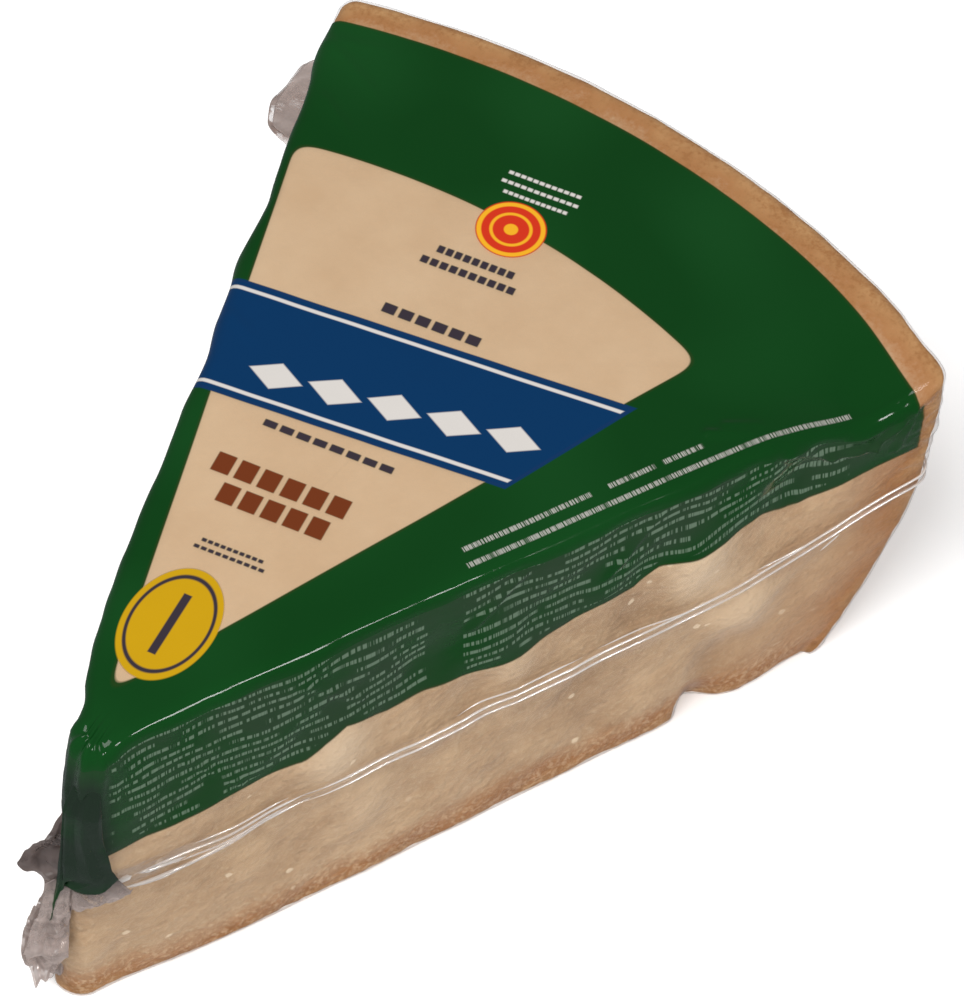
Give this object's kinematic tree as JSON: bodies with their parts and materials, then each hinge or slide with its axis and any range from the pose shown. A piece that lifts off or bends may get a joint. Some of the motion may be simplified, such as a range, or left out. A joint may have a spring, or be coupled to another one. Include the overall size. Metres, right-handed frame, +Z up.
{
  "type": "vacuum-packed hard cheese wedge",
  "caption": "Thick wedge of hard aged cheese with rind on its rim and base, shrunk tight in a printed film bag with a seam round its waist.",
  "frame": {"origin": "middle of the wedge's outer box, on the surface that its base stands on", "axes": "+X from the tip along the wedge's middle line to the rim, +Z up from the base to the printed cut face"},
  "size_m": [0.2148, 0.1774, 0.1004],
  "materials": {
    "printed_film": "glossy clear shrink film with a green print, tight over cream cheese"
  },
  "bodies": {
    "root": {"cheese_wedge_in_shrink_bag": "printed_film"}
  },
  "joints": []
}
